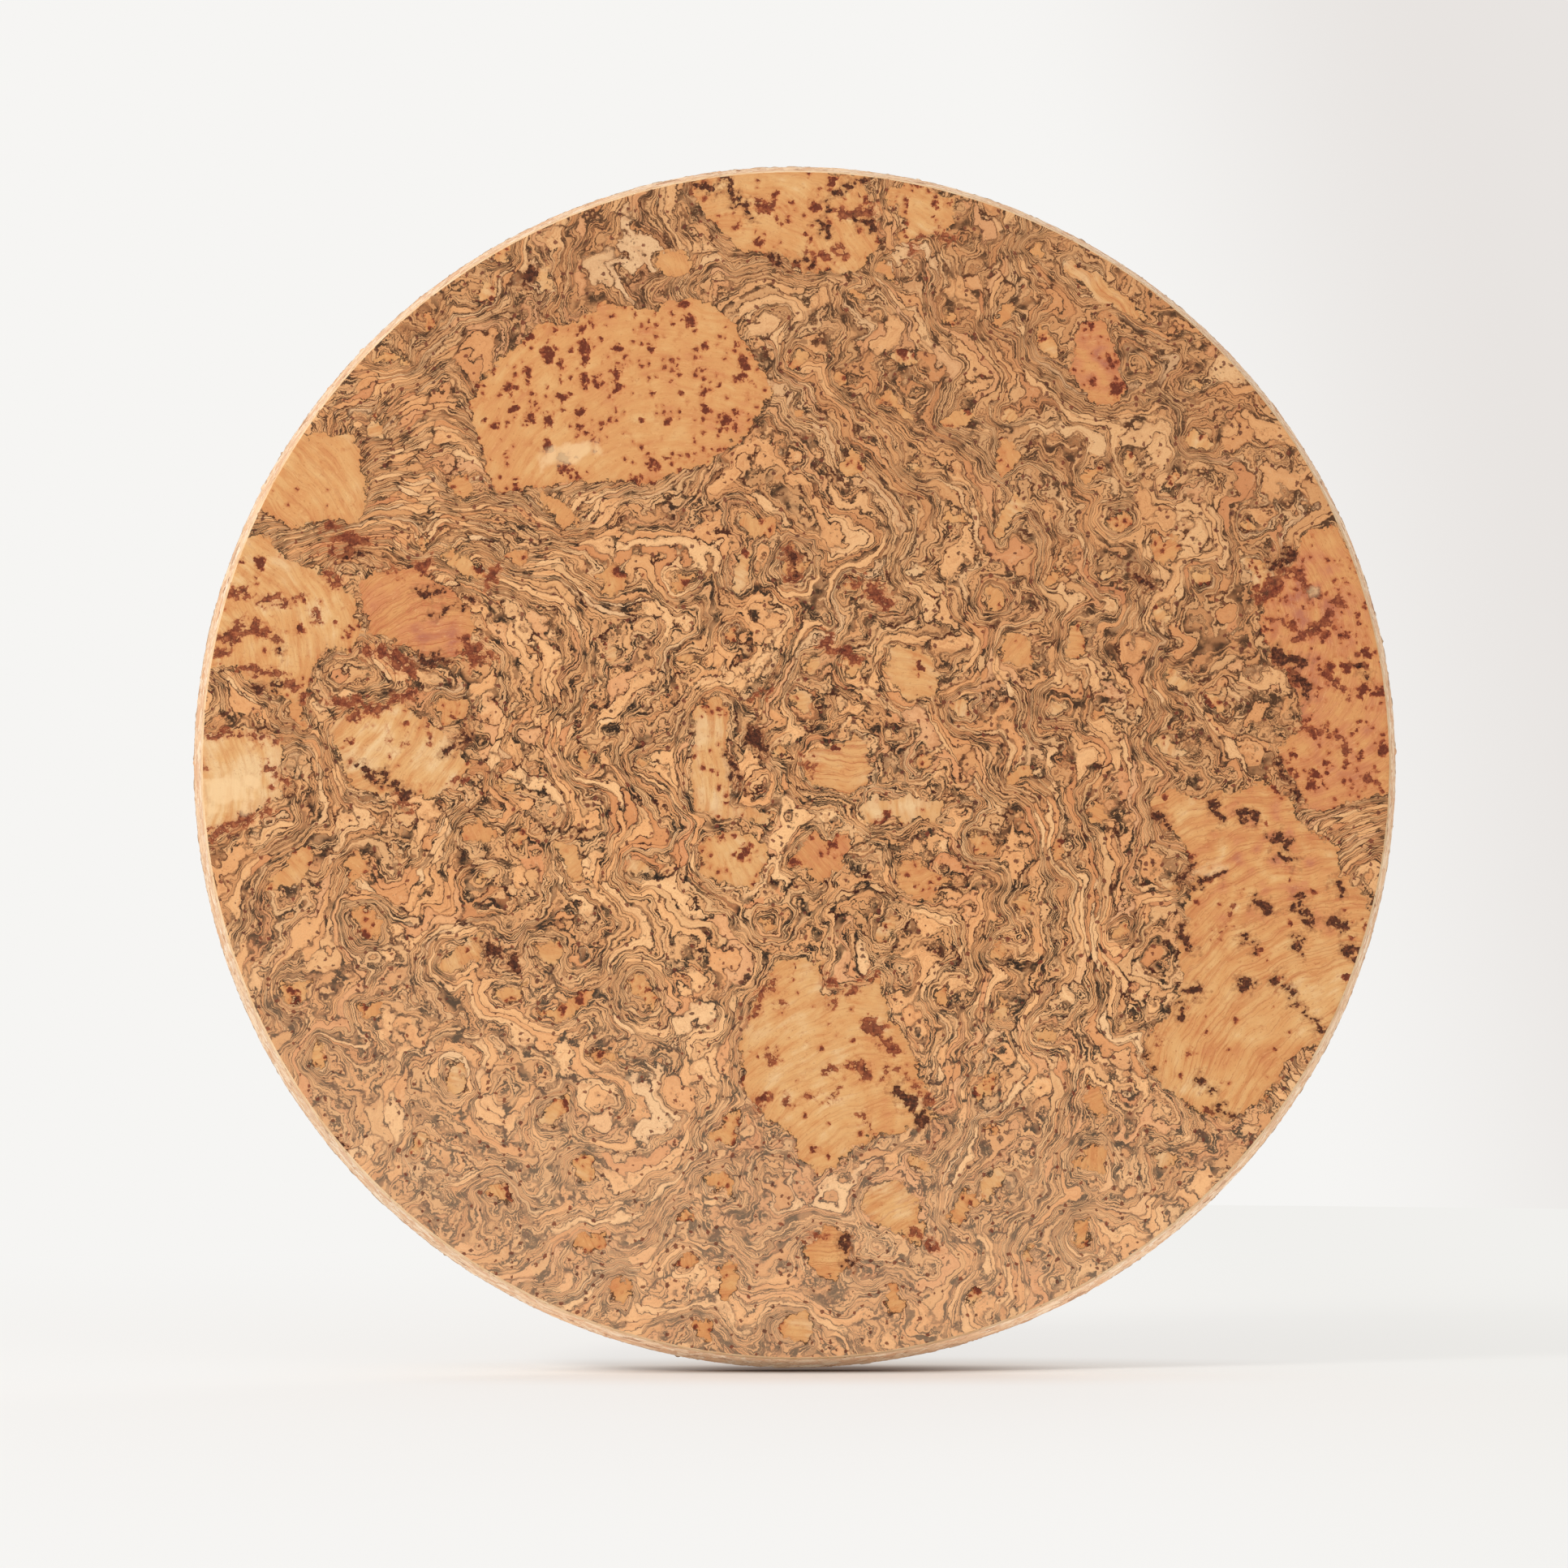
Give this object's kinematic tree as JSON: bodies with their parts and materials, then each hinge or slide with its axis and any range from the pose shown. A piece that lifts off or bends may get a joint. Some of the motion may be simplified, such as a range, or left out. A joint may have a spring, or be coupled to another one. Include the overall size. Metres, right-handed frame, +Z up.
{
  "type": "cork bulletin board",
  "caption": "Round frameless cork bulletin board: burl-patterned cork face on a thick pressed-cork disc with a slanted edge, hung flat on two wall screws by sunk keyhole hangers.",
  "frame": {"origin": "centre of the back face, which lies against the wall", "axes": "+Y out of the back into the wall, -Y out of the pinning face towards the reader, +Z up, +X to the right of someone facing the board"},
  "size_m": [0.4499, 0.018, 0.45],
  "materials": {
    "face_cork": "matte decorative cork with pores, seams and growth lines",
    "core_cork": "matte pressed cork granules",
    "fibreboard": "matte fibreboard",
    "hanger_steel": "zinc-plated sheet steel",
    "screw_steel": "zinc-plated screw"
  },
  "bodies": {
    "root": {"decorative_face": "face_cork", "cork_core": "core_cork", "backing_disc": "fibreboard", "keyhole_hanger_left": "hanger_steel", "keyhole_hanger_right": "hanger_steel", "hanger_screws": "screw_steel"}
  },
  "joints": []
}
